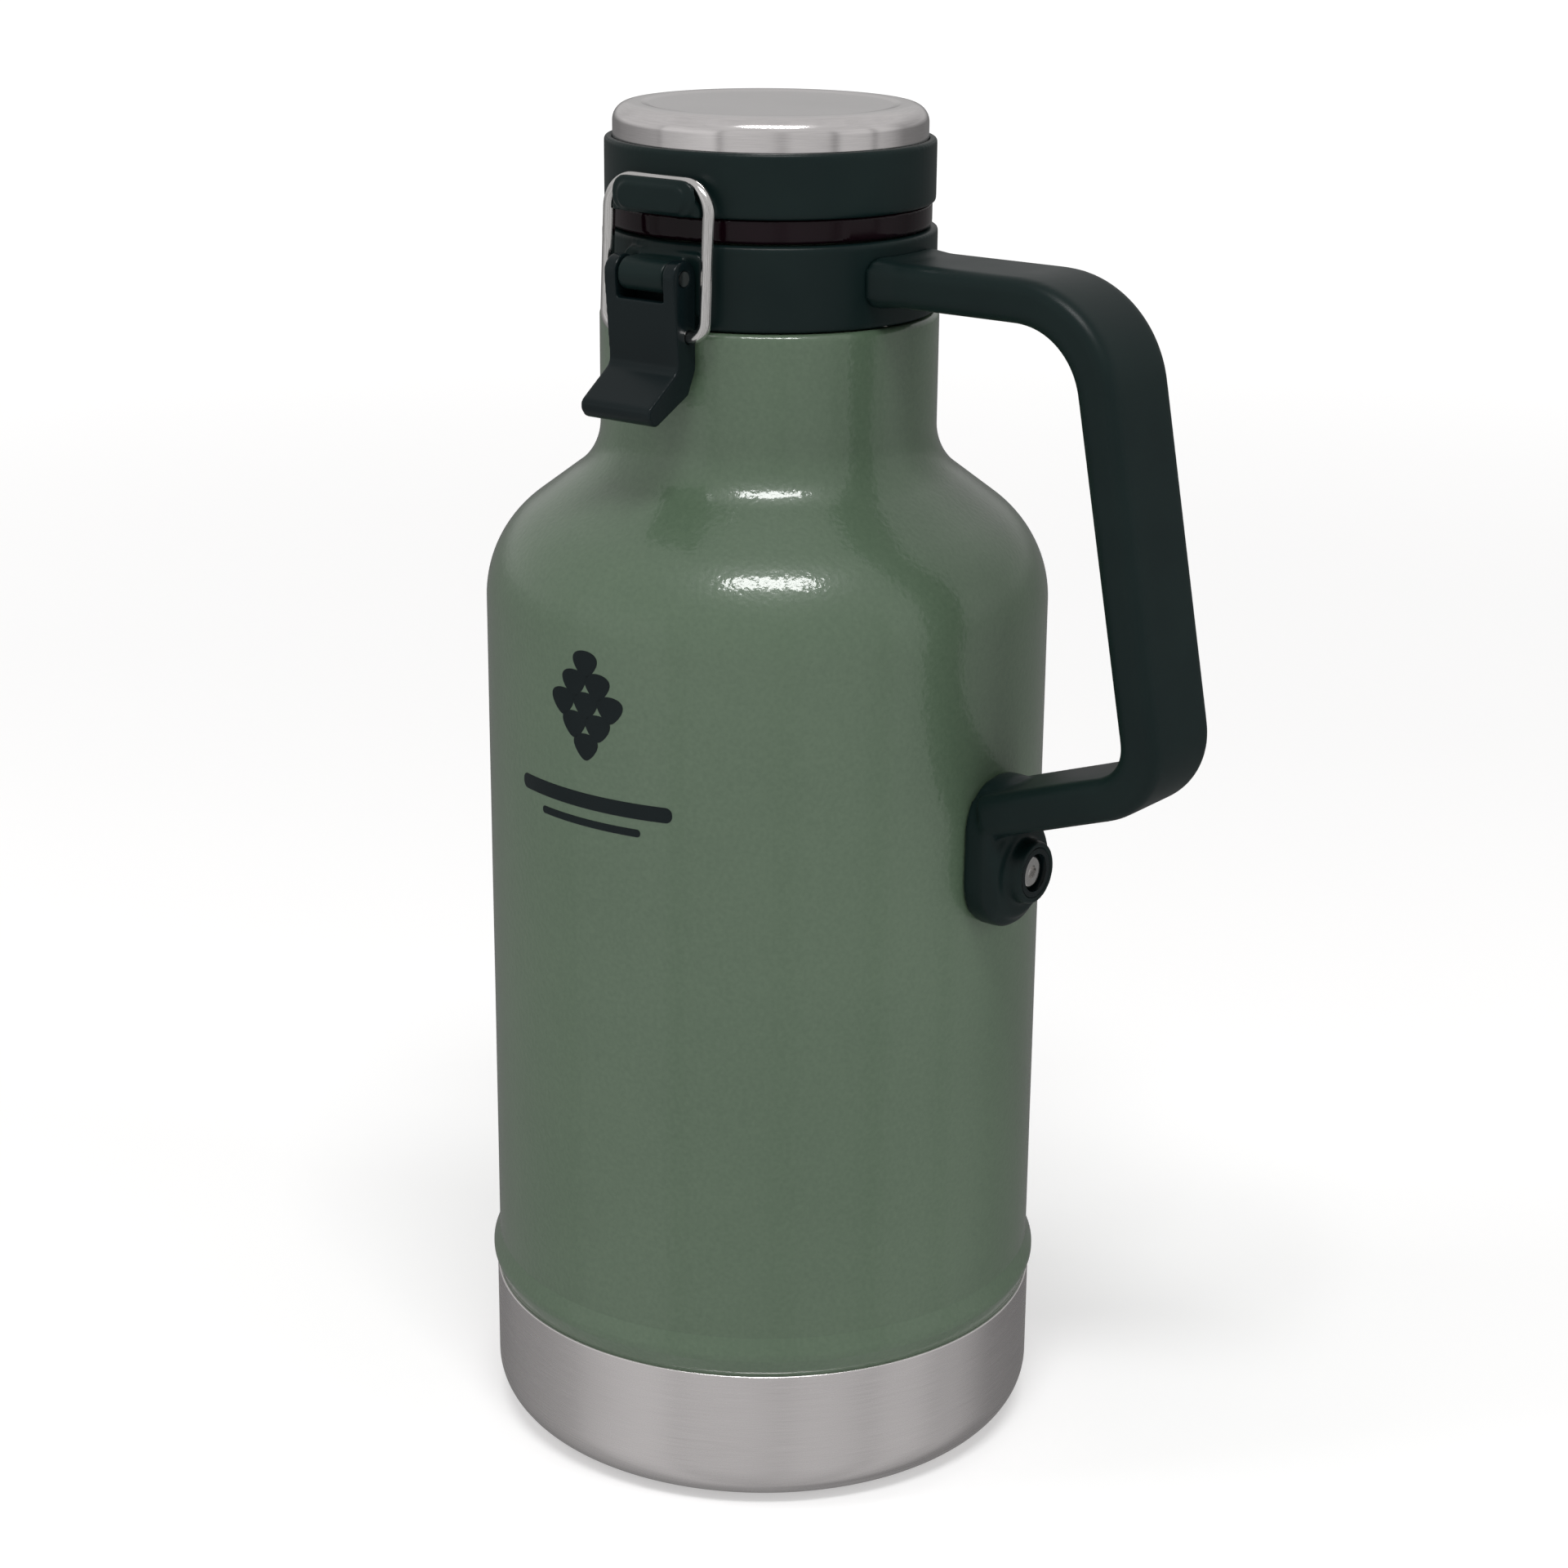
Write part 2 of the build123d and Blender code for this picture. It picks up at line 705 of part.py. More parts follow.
for name, made in solids.items():
    pieces = made if isinstance(made, list) else [made]
    whole = Compound(children=[s for piece in pieces for s in piece.solids()])
    export_step(whole, f"parts/{name}.step")
    box = whole.bounding_box()
    print(name, len(whole.solids()), "solids", round(whole.volume), "mm3", box.min, box.max)
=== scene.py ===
from math import cos, pi, radians, sin, tan

import bmesh
import bpy
import numpy as np
from mathutils import Matrix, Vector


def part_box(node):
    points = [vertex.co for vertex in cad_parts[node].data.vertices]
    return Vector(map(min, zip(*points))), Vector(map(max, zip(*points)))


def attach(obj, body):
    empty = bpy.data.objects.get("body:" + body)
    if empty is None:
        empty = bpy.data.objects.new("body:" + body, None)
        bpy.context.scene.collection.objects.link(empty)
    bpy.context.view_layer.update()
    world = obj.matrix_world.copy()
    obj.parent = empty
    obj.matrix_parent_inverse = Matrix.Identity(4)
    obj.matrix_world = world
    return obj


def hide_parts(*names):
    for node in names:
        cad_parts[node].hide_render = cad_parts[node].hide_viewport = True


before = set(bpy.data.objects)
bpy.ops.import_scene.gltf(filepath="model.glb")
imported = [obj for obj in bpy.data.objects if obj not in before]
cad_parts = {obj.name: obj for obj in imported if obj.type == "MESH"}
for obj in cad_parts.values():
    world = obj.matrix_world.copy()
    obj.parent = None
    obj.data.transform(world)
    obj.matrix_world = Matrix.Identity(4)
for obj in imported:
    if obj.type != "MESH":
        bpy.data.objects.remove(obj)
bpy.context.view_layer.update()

# A steel growler with a hinged stopper lid, a wire loop latch and a side handle.
# Metres, +Z up, latch towards -Y, handle towards +X, lid hinge towards +Y.

mm = 0.001


def topOf(node):
    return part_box(node)[1].z


def footOf(node):
    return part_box(node)[0].z


# ---- outlines and surfaces

def roundedLine(corners, radii, arcSteps=10, closed=False):
    # Straight runs joined by tangent arcs. Each arc turns the vector from its centre evenly
    # from one tangent point to the other. A radius of 0 keeps the corner.
    corners = np.asarray(corners, float)
    radii = np.broadcast_to(np.asarray(radii, float), len(corners))
    pieces = []
    for i, (corner, radius) in enumerate(zip(corners, radii)):
        atEnd = not closed and i in (0, len(corners) - 1)
        if atEnd or radius == 0:
            pieces.append(corner[None])
            continue
        before = corners[i - 1] - corner
        after = corners[(i + 1) % len(corners)] - corner
        before, after = before / np.linalg.norm(before), after / np.linalg.norm(after)
        half = np.arccos(np.clip(before @ after, -1, 1)) / 2
        middle = (before + after) / np.linalg.norm(before + after)
        centre = corner + middle * radius / sin(half)
        start = corner + before * radius / tan(half) - centre
        end = corner + after * radius / tan(half) - centre
        turn = pi - 2 * half
        share = np.linspace(0, 1, arcSteps + 1)[:, None]
        pieces.append(centre + (np.sin((1 - share) * turn) * start + np.sin(share * turn) * end) / sin(turn))
    return np.concatenate(pieces)


def divided(line, longest, closed=False):
    # The same line with its longer runs cut into equal steps no longer than the limit.
    ends = np.roll(line, -1, 0) if closed else line[1:]
    starts = line if closed else line[:-1]
    counts = np.maximum(1, np.ceil(np.linalg.norm(ends - starts, axis=1) / longest)).astype(int)
    index = np.repeat(np.arange(len(starts)), counts)
    step = np.arange(len(index)) - np.repeat(np.cumsum(counts) - counts, counts)
    share = (step / counts[index])[:, None]
    points = starts[index] * (1 - share) + ends[index] * share
    return points if closed else np.concatenate([points, line[-1:]])


def gridFaces(rows, columns, rowsClosed, columnsClosed):
    # Each cell of the grid is a quad; a closed direction joins its last line to its first.
    row, column = np.meshgrid(
        np.arange(rows if rowsClosed else rows - 1),
        np.arange(columns if columnsClosed else columns - 1),
        indexing="ij",
    )
    nextRow, nextColumn = (row + 1) % rows, (column + 1) % columns
    quads = [row * columns + column, row * columns + nextColumn]
    quads += [nextRow * columns + nextColumn, nextRow * columns + column]
    return np.stack(quads, -1).reshape(-1, 4)


def outward(points, faces):
    # The signed volume is a sum of tetrahedra to the origin; below zero the faces are turned over.
    volume = 0.0
    for group in faces:
        for k in range(1, group.shape[1] - 1):
            a, b, c = points[group[:, 0]], points[group[:, k]], points[group[:, k + 1]]
            volume += np.einsum("ij,ij->", a, np.cross(b, c))
    return faces if volume > 0 else [group[:, ::-1] for group in faces]


def meshPiece(name, points, faces, sharpAngle=40):
    points = np.asarray(points, float).reshape(-1, 3)
    faces = outward(points, [np.asarray(group) for group in faces])
    mesh = bpy.data.meshes.new(name)
    mesh.from_pydata(points.tolist(), [], [face for group in faces for face in group.tolist()])
    mesh.validate()
    mesh.polygons.foreach_set("use_smooth", np.ones(len(mesh.polygons), bool))
    mesh.set_sharp_from_angle(angle=radians(sharpAngle))
    piece = bpy.data.objects.new(name, mesh)
    bpy.context.scene.collection.objects.link(piece)
    return piece


def turnedPiece(name, profile, around=192, ripple=None, sharpAngle=40):
    # A profile of radius and height turned about Z: x = r cos(angle), y = r sin(angle).
    # An end on the axis becomes one pole vertex, else the profile is a closed loop.
    profile = np.asarray(profile, float)
    onAxis = profile[0, 0] < 1e-9
    ring = profile[1:-1] if onAxis else profile
    angle = np.arange(around) * 2 * pi / around
    radius, height = ring[:, :1], ring[:, 1:]
    if ripple:
        radius = radius + ripple(angle[None], height)
    points = np.stack([radius * np.cos(angle), radius * np.sin(angle), height + 0 * angle], -1).reshape(-1, 3)
    faces = [gridFaces(len(ring), around, not onAxis, True)]
    if onAxis:
        poles = np.array([[0, 0, profile[0, 1]], [0, 0, profile[-1, 1]]])
        points = np.concatenate([points, poles])
        column = np.arange(around)
        last, pole = (len(ring) - 1) * around, len(ring) * around
        faces.append(np.stack([column * 0 + pole, (column + 1) % around, column], -1))
        faces.append(np.stack([column * 0 + pole + 1, last + column, last + (column + 1) % around], -1))
    return meshPiece(name, points, faces, sharpAngle)


# ---- finishes

def newFinish(name, **values):
    finish = bpy.data.materials.new(name)
    finish.use_nodes = True
    shader = finish.node_tree.nodes["Principled BSDF"]
    for socket, value in values.items():
        shader.inputs[socket.replace("_", " ")].default_value = value
    return finish


def addNode(finish, kind, inputs=(), **settings):
    # Adds one node; an input given as an output socket is linked, and any other value is set.
    made = finish.node_tree.nodes.new("ShaderNode" + kind)
    for setting, value in settings.items():
        setattr(made, setting, value)
    for key, value in dict(inputs).items():
        if isinstance(value, bpy.types.NodeSocket):
            finish.node_tree.links.new(value, made.inputs[key])
        else:
            made.inputs[key].default_value = value
    return made


def plugIn(finish, socket, output):
    finish.node_tree.links.new(output, finish.node_tree.nodes["Principled BSDF"].inputs[socket])


def objectPlace(finish):
    return addNode(finish, "TexCoord").outputs["Object"]


def noise(finish, place, scale, detail=2.0, roughness=0.5):
    inputs = {"Vector": place, "Scale": scale, "Detail": detail, "Roughness": roughness}
    return addNode(finish, "TexNoise", inputs).outputs["Fac"]


def ramp(finish, factor, *stops):
    made = addNode(finish, "ValToRGB", {"Fac": factor})
    elements = made.color_ramp.elements
    while len(elements) < len(stops):
        elements.new(0.5)
    for element, (position, colour) in zip(elements, stops):
        element.position = position
        element.color = (*colour, 1) if isinstance(colour, tuple) else (colour, colour, colour, 1)
    return made.outputs["Color"]


def bump(finish, height, distance, strength, below=None):
    inputs = {"Height": height, "Distance": distance, "Strength": strength}
    if below:
        inputs["Normal"] = below
    return addNode(finish, "Bump", inputs).outputs["Normal"]


def roundPlace(finish, turns, fineness):
    # Coordinates that run round the axis: slow along the turn, fast across it, with no seam.
    place = objectPlace(finish)
    parts = addNode(finish, "SeparateXYZ", {"Vector": place})
    flat = addNode(finish, "CombineXYZ", {"X": parts.outputs["X"], "Y": parts.outputs["Y"]})
    length = addNode(finish, "VectorMath", {0: flat.outputs[0]}, operation="LENGTH").outputs["Value"]
    unit = addNode(finish, "VectorMath", {0: flat.outputs[0]}, operation="NORMALIZE").outputs["Vector"]
    slow = addNode(finish, "VectorMath", {0: unit, "Scale": turns}, operation="SCALE").outputs["Vector"]
    across = addNode(finish, "Math", {0: length, 1: parts.outputs["Z"]}, operation="ADD").outputs[0]
    fast = addNode(finish, "Math", {0: across, 1: fineness}, operation="MULTIPLY").outputs[0]
    lift = addNode(finish, "CombineXYZ", {"Z": fast}).outputs[0]
    return addNode(finish, "VectorMath", {0: slow, 1: lift}, operation="ADD").outputs["Vector"]


def hammerPaint():
    # Sage green gloss paint over a fine pebble, mottled where it lies thicker.
    finish = newFinish("hammerPaint", Roughness=0.34, Specular_IOR_Level=0.35, Coat_Weight=0.85, Coat_Roughness=0.06)
    place = objectPlace(finish)
    cloud = noise(finish, place, 18, 3)
    pebble = noise(finish, place, 1100, 2.5, 0.55)
    tone = addNode(finish, "Mix", {"Factor": 0.4, "A": pebble, "B": cloud}, data_type="FLOAT").outputs["Result"]
    plugIn(finish, "Base Color", ramp(finish, tone, (0.36, (0.073, 0.114, 0.072)), (0.64, (0.087, 0.132, 0.084))))
    cells = addNode(finish, "TexVoronoi", {"Vector": place, "Scale": 900}, feature="SMOOTH_F1").outputs["Distance"]
    height = addNode(finish, "Math", {0: pebble, 1: cells}, operation="SUBTRACT").outputs[0]
    normal = bump(finish, height, 0.06 * mm, 0.75)
    plugIn(finish, "Normal", normal)
    plugIn(finish, "Coat Normal", normal)
    return finish


def turnedSteel(name, turns, base, rough, brushDepth, pull=0.55):
    # Steel brushed round its axis: fine streaks in its tone, its roughness and its surface.
    finish = newFinish(name, Metallic=1.0, Anisotropic=pull)
    place = roundPlace(finish, turns, 7000)
    fine = noise(finish, place, 1.0, 4, 0.65)
    broad = noise(finish, objectPlace(finish), 28, 2)
    light = tuple(c * 1.08 for c in base)
    dark = tuple(c * 0.88 for c in base)
    tone = addNode(finish, "Mix", {"Factor": 0.35, "A": fine, "B": broad}, data_type="FLOAT").outputs["Result"]
    plugIn(finish, "Base Color", ramp(finish, tone, (0.3, dark), (0.7, light)))
    plugIn(finish, "Roughness", ramp(finish, fine, (0.3, rough * 0.85), (0.7, rough * 1.15)))
    plugIn(finish, "Normal", bump(finish, fine, 0.01 * mm, brushDepth))
    tangent = addNode(finish, "Tangent", direction_type="RADIAL", axis="Z").outputs["Tangent"]
    plugIn(finish, "Tangent", tangent)
    return finish


def mouldedPlastic(name, dark, light, rough, grain, grainDepth, gloss=0.3):
    # Moulded plastic: a fine spark-eroded grain, a slow drift in tone and polish.
    finish = newFinish(name, Specular_IOR_Level=gloss)
    place = objectPlace(finish)
    drift = noise(finish, place, 60, 2)
    spark = noise(finish, place, grain, 2, 0.6)
    plugIn(finish, "Base Color", ramp(finish, drift, (0.3, dark), (0.7, light)))
    plugIn(finish, "Roughness", ramp(finish, drift, (0.25, rough * 0.9), (0.75, rough * 1.12)))
    plugIn(finish, "Normal", bump(finish, spark, 0.02 * mm, grainDepth))
    return finish


def brightSteel():
    # Drawn wire and screws: polished, with faint draw marks.
    finish = newFinish("brightSteel", Metallic=1.0)
    place = objectPlace(finish)
    marks = addNode(finish, "Mapping", {"Vector": place, "Scale": (9000, 9000, 300)}).outputs["Vector"]
    streak = noise(finish, marks, 1.0, 3)
    plugIn(finish, "Base Color", ramp(finish, streak, (0.3, (0.7, 0.69, 0.68)), (0.7, (0.86, 0.85, 0.84))))
    plugIn(finish, "Roughness", ramp(finish, streak, (0.3, 0.1), (0.7, 0.2)))
    plugIn(finish, "Normal", bump(finish, streak, 0.005 * mm, 0.2))
    return finish


def softFoam():
    # Closed-cell foam: pale, matt, with small cells.
    finish = newFinish("softFoam", Roughness=0.9)
    place = objectPlace(finish)
    cells = addNode(finish, "TexVoronoi", {"Vector": place, "Scale": 1400}).outputs["Distance"]
    plugIn(finish, "Base Color", ramp(finish, cells, (0.0, (0.8, 0.77, 0.66)), (0.8, (0.62, 0.58, 0.47))))
    plugIn(finish, "Normal", bump(finish, cells, 0.2 * mm, 0.6))
    return finish


darkPlastic = mouldedPlastic("darkPlastic", (0.003, 0.0095, 0.0095), (0.0042, 0.012, 0.0115), 0.36, 4200, 0.12, 0.21)
leverPlastic = mouldedPlastic("leverPlastic", (0.0025, 0.0065, 0.0075), (0.0035, 0.008, 0.009), 0.24, 4200, 0.06, 0.24)
purplePlastic = mouldedPlastic("purplePlastic", (0.004, 0.001, 0.002), (0.006, 0.0015, 0.0035), 0.1, 5000, 0.02, 0.25)
plugPlastic = mouldedPlastic("plugPlastic", (0.02, 0.024, 0.024), (0.027, 0.031, 0.03), 0.45, 3000, 0.2)
sealRubber = mouldedPlastic("sealRubber", (0.03, 0.03, 0.03), (0.045, 0.045, 0.044), 0.65, 1800, 0.3)
brushedSteel = turnedSteel("brushedSteel", 5, (0.92, 0.885, 0.885), 0.26, 0.12)
capSteel = turnedSteel("capSteel", 5, (0.93, 0.9, 0.9), 0.13, 0.05, 0.3)
plainSteel = turnedSteel("plainSteel", 3, (0.5, 0.49, 0.47), 0.3, 0.15)
wireSteel = brightSteel()
foamFinish = softFoam()
greenPaint = hammerPaint()

nodeFinish = {
    "outer_shell": greenPaint,
    "shell_bottom": plainSteel,
    "getter": plainSteel,
    "base_cup": brushedSteel,
    "inner_liner": plainSteel,
    "liner_bottom": plainSteel,
    "collar": darkPlastic,
    "handle": darkPlastic,
    "handle_pins": plainSteel,
    "foot_stud": plainSteel,
    "foot_screw": wireSteel,
    "foot_bush": leverPlastic,
    "lever_pin": wireSteel,
    "hinge_pin": wireSteel,
    "lid_ring": darkPlastic,
    "lid_cap": capSteel,
    "cap_foam": foamFinish,
    "stopper_flange": purplePlastic,
    "lid_screws": plainSteel,
    "plug_cup": plugPlastic,
    "plug_base": plugPlastic,
    "plug_foam": foamFinish,
    "plug_gasket": sealRubber,
    "rim_gasket": sealRubber,
    "latch_lever": leverPlastic,
    "bail": wireSteel,
}
for node, finish in nodeFinish.items():
    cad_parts[node].data.materials.clear()
    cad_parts[node].data.materials.append(finish)
print("finishes are on the frame's nodes")


def standIn(piece, node, body):
    # The piece takes a node's place and finish, and moves with its body.
    piece.data.materials.clear()
    piece.data.materials.append(nodeFinish[node])
    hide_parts(node)
    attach(piece, body)
    return piece


# ---- steel shell with its shoulder, beads and rolled neck

shellSizes = {
    "radius": 59.5 * mm,
    "wall": 0.6 * mm,
    "shoulderStart": 186 * mm,
    "convex": 25 * mm,
    "concave": 13 * mm,
    "slope": radians(53),
    "neckRound": 1.3 * mm,
    "beadRise": 1.4 * mm,
    "beadLow": 32.1 * mm,
    "beadHeight": 8.2 * mm,
    "around": 240,
}


def shellProfile(s):
    # From the inside foot up the outer wall to the spout's rim, and back down inside.
    foot, neckTop = footOf("outer_shell"), footOf("collar") - 0.2 * mm
    spoutTop = topOf("outer_shell")
    spout = 30.4 * mm
    neck = 35.1 * mm
    bend, turn = s["convex"] + s["concave"], s["slope"]
    rise = bend * sin(turn) + (s["radius"] - neck - bend * (1 - cos(turn))) / tan(turn)
    wall = s["wall"]
    start = s["shoulderStart"]
    # the shoulder's two straight neighbours meet its cone at these corners
    lowCorner = start + s["convex"] * tan(turn / 2)
    highCorner = start + rise - s["concave"] * tan(turn / 2)
    beadTop = s["beadLow"] + s["beadHeight"]
    beadOut = s["radius"] + s["beadRise"]
    outer = roundedLine(
        [
            (s["radius"], foot),
            (s["radius"], s["beadLow"]),
            (beadOut, s["beadLow"] + 3.4 * mm),
            (beadOut, beadTop - 3.6 * mm),
            (s["radius"], beadTop),
            (s["radius"], lowCorner),
            (neck, highCorner),
            (neck, neckTop),
            (spout, neckTop),
            (spout, spoutTop),
        ],
        [0, 0.5 * mm, 1.6 * mm, 2.2 * mm, 0.7 * mm, s["convex"], s["concave"], s["neckRound"], 0.5 * mm, 0],
        arcSteps=18,
    )
    inner = roundedLine(
        [
            (spout - wall, spoutTop),
            (spout - wall, neckTop - wall),
            (neck - wall, neckTop - wall),
            (neck - wall, highCorner),
            (s["radius"] - wall, lowCorner),
            (s["radius"] - wall, foot),
        ],
        [0, 0, 0, s["concave"] + wall, s["convex"] - wall, 0],
        arcSteps=12,
    )
    return np.concatenate([divided(outer, 1.5 * mm), divided(inner, 6 * mm)])


def shellRipple(angle, height):
    # Slow waves in the drawn wall, a few hundredths deep, as sums of sines of angle and height.
    wave = np.sin(5 * angle + 38 * height) + 0.6 * np.sin(11 * angle - 71 * height)
    return 0.012 * mm * (wave + 0.4 * np.sin(23 * angle + 160 * height))


shell = turnedPiece("painted_shell", shellProfile(shellSizes), shellSizes["around"], shellRipple, 50)
standIn(shell, "outer_shell", "bottle")
print("shell made")


# ---- printed mark on the shell: a plain hop cone over two bars

markSizes = {
    "coneTop": 183 * mm,
    "scaleWidth": 5.9 * mm,
    "scaleHeight": 5.6 * mm,
    "rowStep": 4.3 * mm,
    "sideStep": 6.1 * mm,
    "rows": (1, 2, 3, 2, 1),
    "barTop": 156 * mm,
    "bars": ((40 * mm, 3.2 * mm), (26 * mm, 1.6 * mm)),
    "barStep": 5.4 * mm,
    "steps": 14,
    "proud": 0.06 * mm,
}


def printedPatch(outline, radius, proud, steps):
    # A star-shaped outline in width u and height v about its centre, shrunk to the centre by
    # even shares, and wrapped round the axis: x = r sin(u / radius), y = -r cos(u / radius).
    # The upper skin stands proud of the wall, and the lower one closes it inside the wall.
    centre = outline.mean(0)
    share = np.arange(1, steps + 1) / steps
    shares = np.concatenate([share, share[::-1]])[:, None, None]
    lift = np.repeat([proud, -proud], steps)[:, None]
    flat = centre + shares * (outline - centre)
    turn, r = flat[..., 0] / radius, radius + lift
    rim = np.stack([r * np.sin(turn), -r * np.cos(turn), flat[..., 1]], -1).reshape(-1, 3)
    middle = centre[0] / radius
    poles = [[k * sin(middle), -k * cos(middle), centre[1]] for k in (radius + proud, radius - proud)]
    rows, around = flat.shape[:2]
    column = np.arange(around)
    last, pole = (rows - 1) * around, rows * around
    top = np.stack([column * 0 + pole, column, (column + 1) % around], -1)
    bottom = np.stack([column * 0 + pole + 1, last + (column + 1) % around, last + column], -1)
    return np.concatenate([rim, poles]), gridFaces(rows, around, False, True)[:, ::-1], np.concatenate([top, bottom])


def hopScale(x, z, width, height):
    # An egg with its point down: u = w sin(a) (1 + 0.4 cos(a)) / 2, v = h cos(a) / 2.
    a = np.arange(40) * 2 * pi / 40
    return np.stack([x + width / 2 * np.sin(a) * (1 + 0.4 * np.cos(a)), z + height / 2 * np.cos(a)], -1)


def printedMark(s, radius):
    outlines = []
    for row, count in enumerate(s["rows"]):
        for k in range(count):
            x = (k - (count - 1) / 2) * s["sideStep"]
            outlines.append(hopScale(x, s["coneTop"] - row * s["rowStep"], s["scaleWidth"], s["scaleHeight"]))
    for k, (width, height) in enumerate(s["bars"]):
        z = s["barTop"] - k * s["barStep"]
        corners = [(-width / 2, z), (width / 2, z), (width / 2, z - height), (-width / 2, z - height)]
        outlines.append(divided(roundedLine(corners, height * 0.45, 6, True), 1.5 * mm, True))
    points, quads, fans, base = [], [], [], 0
    for outline in outlines:
        made, grid, ends = printedPatch(outline, radius, s["proud"], s["steps"])
        points.append(made)
        quads.append(grid + base)
        fans.append(ends + base)
        base += len(made)
    return meshPiece("printed_mark", np.concatenate(points), [np.concatenate(quads), np.concatenate(fans)], 50)


mark = printedMark(markSizes, shellSizes["radius"])
mark.data.materials.append(leverPlastic)
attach(mark, "bottle")
print("mark printed")


# ---- base cup

cupSizes = {"corner": 9.5 * mm, "lip": 0.35 * mm, "wall": 0.6 * mm, "recess": 0.5 * mm, "around": 240}


def cupProfile(s):
    top, outer = topOf("base_cup"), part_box("base_cup")[1].x
    inner = outer - s["wall"]
    hub = 0.62 * outer
    floorTop = s["recess"] + s["wall"]
    outside = roundedLine(
        [(0, s["recess"]), (hub, s["recess"]), (hub + 2 * mm, 0), (outer, 0), (outer, top), (inner, top)],
        [0, 0.8 * mm, 0.8 * mm, s["corner"], s["lip"], 0],
        arcSteps=16,
    )
    inside = roundedLine([(inner, top), (inner, floorTop), (0, floorTop)], [0, s["corner"] - s["wall"], 0], arcSteps=10)
    return np.concatenate([divided(outside, 3 * mm), divided(inside[1:], 6 * mm)])


cup = turnedPiece("steel_base_cup", cupProfile(cupSizes), cupSizes["around"])
standIn(cup, "base_cup", "bottle")
print("base cup made")


# ---- lid cap

capSizes = {"edge": 3.6 * mm, "wall": 0.6 * mm, "dish": 0.2 * mm, "around": 240}


def capProfile(s):
    low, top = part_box("lid_cap")[0].z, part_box("lid_cap")[1].z
    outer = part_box("lid_cap")[1].x
    rim = outer - 2 * s["edge"]
    outside = roundedLine(
        [(0, top - s["dish"]), (rim, top - s["dish"]), (rim + 1.5 * mm, top), (outer, top), (outer, low)],
        [0, 1.5 * mm, 1.5 * mm, s["edge"], 0],
        arcSteps=16,
    )
    inside = roundedLine(
        [(outer - s["wall"], low), (outer - s["wall"], top - 2 * s["wall"]), (0, top - 2 * s["wall"])],
        [0, s["edge"] - s["wall"], 0],
        arcSteps=8,
    )
    return np.concatenate([divided(outside, 2 * mm), divided(inside, 4 * mm)])


cap = turnedPiece("steel_lid_cap", capProfile(capSizes), capSizes["around"])
standIn(cap, "lid_cap", "lid")
print("lid cap made")


# ---- moulded parts

def appliedMesh(piece):
    # The piece's mesh with its modifiers worked in.
    graph = bpy.context.evaluated_depsgraph_get()
    mesh = bpy.data.meshes.new_from_object(piece.evaluated_get(graph))
    piece.modifiers.clear()
    piece.data = mesh
    mesh.polygons.foreach_set("use_smooth", np.ones(len(mesh.polygons), bool))
    return piece


def mouldedCopy(name, node, body, fineness, rounds):
    # A node's own solid rebuilt on an even grid and relaxed, so that its outer edges
    # round off and its inner corners fill a little, as they do out of a mould.
    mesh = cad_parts[node].data.copy()
    mesh.name = name
    piece = bpy.data.objects.new(name, mesh)
    bpy.context.scene.collection.objects.link(piece)
    solid = bmesh.new()
    solid.from_mesh(mesh)
    bmesh.ops.remove_doubles(solid, verts=solid.verts, dist=1e-6)
    solid.to_mesh(mesh)
    solid.free()
    grid = piece.modifiers.new("grid", "REMESH")
    grid.mode, grid.voxel_size = "VOXEL", fineness
    relax = piece.modifiers.new("relax", "SMOOTH")
    relax.factor, relax.iterations = 0.5, rounds
    return standIn(appliedMesh(piece), node, body)


mouldings = {
    "moulded_collar": ("collar", "bottle", "dark_plastic", 0.36 * mm, 6),
    "moulded_handle": ("handle", "bottle", "dark_plastic", 0.5 * mm, 16),
    "moulded_lid_ring": ("lid_ring", "lid", "dark_plastic", 0.4 * mm, 6),
    "moulded_lever": ("latch_lever", "lever", "lever_plastic", 0.2 * mm, 26),
    "moulded_stopper_flange": ("stopper_flange", "lid", "purple_plastic", 0.36 * mm, 3),
}
for name, (node, body, slotName, fineness, rounds) in mouldings.items():
    made = mouldedCopy(name, node, body, fineness, rounds)
    print(name, len(made.data.polygons), "faces")


# ---- studio

studio = {
    "distance": 0.643,
    "azimuth": radians(37.5),
    "height": 0.3522,
    "pitch": radians(18.025),
    "yaw": radians(0.344),
    "roll": radians(0.507),
    "lens": 71.53,
    "floorHalf": 60.0,
}


def placeCamera(s):
    data = bpy.data.cameras.new("camera")
    data.lens, data.sensor_width = s["lens"], 36
    data.clip_start, data.clip_end = 0.02, 200
    camera = bpy.data.objects.new("camera", data)
    bpy.context.scene.collection.objects.link(camera)
    turn = Matrix.Rotation(s["azimuth"] - s["yaw"], 4, "Z")
    tilt = Matrix.Rotation(pi / 2 - s["pitch"], 4, "X")
    roll = Matrix.Rotation(s["roll"], 4, "Z")
    place = Matrix.Translation(
        (s["distance"] * sin(s["azimuth"]), -s["distance"] * cos(s["azimuth"]), s["height"])
    )
    camera.matrix_world = place @ turn @ tilt @ roll
    bpy.context.scene.camera = camera


def softBox(name, azimuth, elevation, distance, size, power, aim=(0, 0, 0.15)):
    # A rectangular light that faces a point on the bottle, placed by angles about it.
    data = bpy.data.lights.new(name, "AREA")
    data.shape, data.size, data.size_y, data.energy = "RECTANGLE", size[0], size[1], power
    light = bpy.data.objects.new(name, data)
    bpy.context.scene.collection.objects.link(light)
    a, e = radians(azimuth), radians(elevation)
    turn = Matrix.Rotation(a, 4, "Z") @ Matrix.Rotation(pi / 2 - e, 4, "X")
    light.matrix_world = Matrix.Translation(aim) @ turn @ Matrix.Translation((0, 0, distance))
    return light


